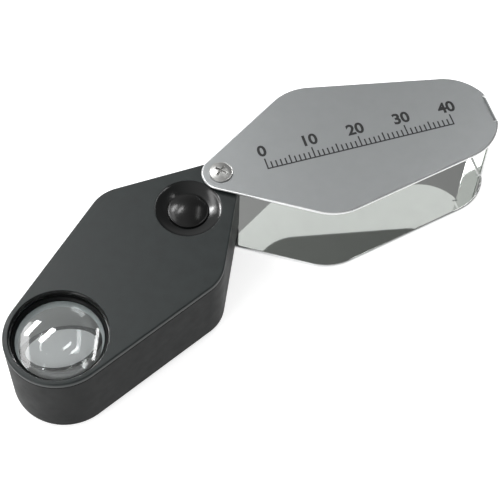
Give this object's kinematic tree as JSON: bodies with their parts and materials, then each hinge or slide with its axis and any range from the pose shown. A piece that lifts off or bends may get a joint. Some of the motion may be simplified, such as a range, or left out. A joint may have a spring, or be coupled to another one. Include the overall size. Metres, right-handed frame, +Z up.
{
  "type": "illuminated loupe",
  "caption": "Folding pocket loupe: a bent sheet-steel cover and a black lamp-lit body with a round lens and a push button, which swings out on a pivot at the nose.",
  "frame": {"origin": "middle of the cover's underside, the flat face that the loupe rests on", "axes": "+X along the cover from the pivot to the strip that joins its plates, +Z up through the lens axis direction, from the underside to the button's side"},
  "size_m": [0.1084, 0.0524, 0.0214],
  "materials": {
    "cover_steel": "satin outside, mirror bright inside",
    "bright_steel": "bright",
    "washer_nylon": "smooth",
    "body_black": "fine moulded texture",
    "lid_black": "satin",
    "lens_glass": "polished and coated",
    "ring_black": "matt black",
    "sleeve_white": "smooth white",
    "led_resin": "clear resin",
    "wire_red": "satin sheath",
    "board_green": "solder mask",
    "resistor_ceramic": "matt",
    "switch_plastic": "matt",
    "button_black": "high gloss",
    "cell_steel": "bright nickel",
    "contact_brass": "bright strip"
  },
  "bodies": {
    "cover_frame": {"cover": "cover_steel", "pivot_barrel": "bright_steel", "pivot_screw": "bright_steel", "lower_washer": "washer_nylon", "upper_washer": "washer_nylon"},
    "loupe_body": {"body_shell": "body_black", "top_plate": "lid_black", "lens": "lens_glass", "lens_ring": "ring_black", "light_sleeve": "sleeve_white", "led": "led_resin", "led_wires": "wire_red", "circuit_board": "board_green", "board_screws": "bright_steel", "resistor": "resistor_ceramic", "switch_case": "switch_plastic", "button_spring": "bright_steel", "battery_cell_1": "cell_steel", "battery_cell_2": "cell_steel", "battery_cell_3": "cell_steel", "positive_contact": "contact_brass", "negative_contact": "contact_brass", "contact_spring": "contact_brass", "battery_door": "body_black", "door_screw": "bright_steel", "case_screws": "bright_steel"},
    "push_button": {"button_cap": "button_black", "switch_plunger": "sleeve_white"}
  },
  "joints": [
    {"name": "swing", "type": "hinge", "parent": "cover_frame", "child": "loupe_body", "pos_m": [-0.02745, 0, 0], "axis": [0, 0, 1], "range_deg": [-213.5, 146.5]},
    {"name": "button_press", "type": "slide", "parent": "loupe_body", "child": "push_button", "axis": [0, 0, -1], "range_m": [0, 0.0008], "stiffness_N_per_m": 200, "springref_m": -0.004, "deforming": ["button_spring"]}
  ]
}
